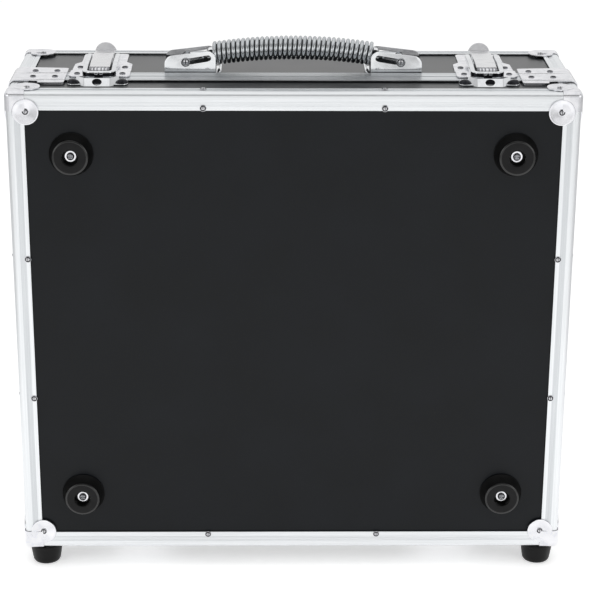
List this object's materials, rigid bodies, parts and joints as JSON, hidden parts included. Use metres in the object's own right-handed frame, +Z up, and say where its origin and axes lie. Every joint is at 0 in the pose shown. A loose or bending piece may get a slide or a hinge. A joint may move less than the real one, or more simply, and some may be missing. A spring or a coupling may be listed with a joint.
{
  "type": "guitar pedal case",
  "caption": "Upright carrying case of black board with aluminium edges: hinged lid, shallow tray, drawbolt latches, spring-covered grip, lobed corner caps and rubber feet.",
  "frame": {"origin": "on the ground, under the middle of the case standing on its hinge side", "axes": "+Z up, towards the handle; +X along the case's width; -Y is the tray's broad face with the large feet; +Y is the lid's broad face"},
  "size_m": [0.4532, 0.1614, 0.4409],
  "materials": {
    "black_board": "black laminate with a fine matte grain",
    "aluminium_trim": "satin, with fine lines along its length",
    "zinc_steel": "bright plated pressed steel",
    "chrome": "polished plating",
    "spring_wire": "bright drawn wire",
    "rubber": "black moulded rubber",
    "core_plastic": "black core inside the spring",
    "lining_felt": "dark grey felt, guessed",
    "foam": "dark grey foam, guessed"
  },
  "bodies": {
    "tray": {"base_foot_bottom_left": "rubber", "base_foot_bottom_right": "rubber", "base_foot_screw_bottom_left": "zinc_steel", "base_foot_screw_bottom_right": "zinc_steel", "base_foot_screw_top_left": "zinc_steel", "base_foot_screw_top_right": "zinc_steel", "base_foot_top_left": "rubber", "base_foot_top_right": "rubber", "hinge_leaf_tray_left": "zinc_steel", "hinge_leaf_tray_right": "zinc_steel", "hinge_pin_left": "zinc_steel", "hinge_pin_right": "zinc_steel", "latch_keeper_left": "zinc_steel", "latch_keeper_right": "zinc_steel", "stand_foot_front_left": "rubber", "stand_foot_front_right": "rubber", "tray_cap_bottom_left": "zinc_steel", "tray_cap_bottom_right": "zinc_steel", "tray_cap_top_left": "zinc_steel", "tray_cap_top_right": "zinc_steel", "tray_edge_trim": "aluminium_trim", "tray_lining": "lining_felt", "tray_panel": "black_board", "tray_wall_bottom": "black_board", "tray_wall_left": "black_board", "tray_wall_right": "black_board", "tray_wall_top": "black_board"},
    "lid": {"corner_brace_bottom_left": "zinc_steel", "corner_brace_bottom_right": "zinc_steel", "corner_brace_top_left": "zinc_steel", "corner_brace_top_right": "zinc_steel", "handle_bracket_left": "chrome", "handle_bracket_right": "chrome", "hinge_leaf_lid_left": "zinc_steel", "hinge_leaf_lid_right": "zinc_steel", "latch_plate_left": "zinc_steel", "latch_plate_right": "zinc_steel", "lid_cap_bottom_left": "zinc_steel", "lid_cap_bottom_right": "zinc_steel", "lid_cap_top_left": "zinc_steel", "lid_cap_top_right": "zinc_steel", "lid_closure_profile": "aluminium_trim", "lid_edge_trim": "aluminium_trim", "lid_foam": "foam", "lid_panel": "black_board", "lid_wall_bottom": "black_board", "lid_wall_left": "black_board", "lid_wall_right": "black_board", "lid_wall_top": "black_board", "stand_foot_rear_left": "rubber", "stand_foot_rear_right": "rubber"},
    "lever_left": {"latch_lever_left": "chrome"},
    "lever_right": {"latch_lever_right": "chrome"},
    "hook_left": {"latch_hook_left": "chrome"},
    "hook_right": {"latch_hook_right": "chrome"},
    "grip": {"handle_core": "core_plastic", "handle_spring": "spring_wire"},
    "strap_left": {"handle_strap_end_left": "chrome"},
    "strap_right": {"handle_strap_end_right": "chrome"}
  },
  "joints": [
    {"name": "lid_hinge", "type": "hinge", "parent": "tray", "child": "lid", "pos_m": [0, -0.03035, 0.0149], "axis": [-1, 0, 0], "range_deg": [0, 100]},
    {"name": "lever_left_pivot", "type": "hinge", "parent": "lid", "child": "lever_left", "pos_m": [-0.1555, -0.01835, 0.4184], "axis": [1, 0, 0], "range_deg": [0, 75]},
    {"name": "hook_left_pivot", "type": "hinge", "parent": "lever_left", "child": "hook_left", "pos_m": [-0.1555, 0.01365, 0.4194], "axis": [1, 0, 0], "range_deg": [-75, 0]},
    {"name": "lever_right_pivot", "type": "hinge", "parent": "lid", "child": "lever_right", "pos_m": [0.1555, -0.01835, 0.4184], "axis": [1, 0, 0], "range_deg": [0, 75]},
    {"name": "hook_right_pivot", "type": "hinge", "parent": "lever_right", "child": "hook_right", "pos_m": [0.1555, 0.01365, 0.4194], "axis": [1, 0, 0], "range_deg": [-75, 0]},
    {"name": "grip_lift", "type": "slide", "parent": "lid", "child": "grip", "axis": [0, 0, 1], "range_m": [0, 0.0144]},
    {"name": "strap_left_pivot", "type": "hinge", "parent": "grip", "child": "strap_left", "pos_m": [-0.0665, 0.00815, 0.4268], "axis": [0, -1, 0], "range_deg": [0, 43.5]},
    {"name": "strap_right_pivot", "type": "hinge", "parent": "grip", "child": "strap_right", "pos_m": [0.0665, 0.00815, 0.4268], "axis": [0, 1, 0], "range_deg": [0, 43.5]}
  ],
  "couplings": [
    {"joint": "hook_left_pivot", "follows": "lever_left_pivot", "ratio": -1},
    {"joint": "hook_right_pivot", "follows": "lever_right_pivot", "ratio": -1},
    {"joint": "strap_left_pivot", "follows": "grip_lift", "rad_per_m": 52.6},
    {"joint": "strap_right_pivot", "follows": "grip_lift", "rad_per_m": 52.6}
  ]
}
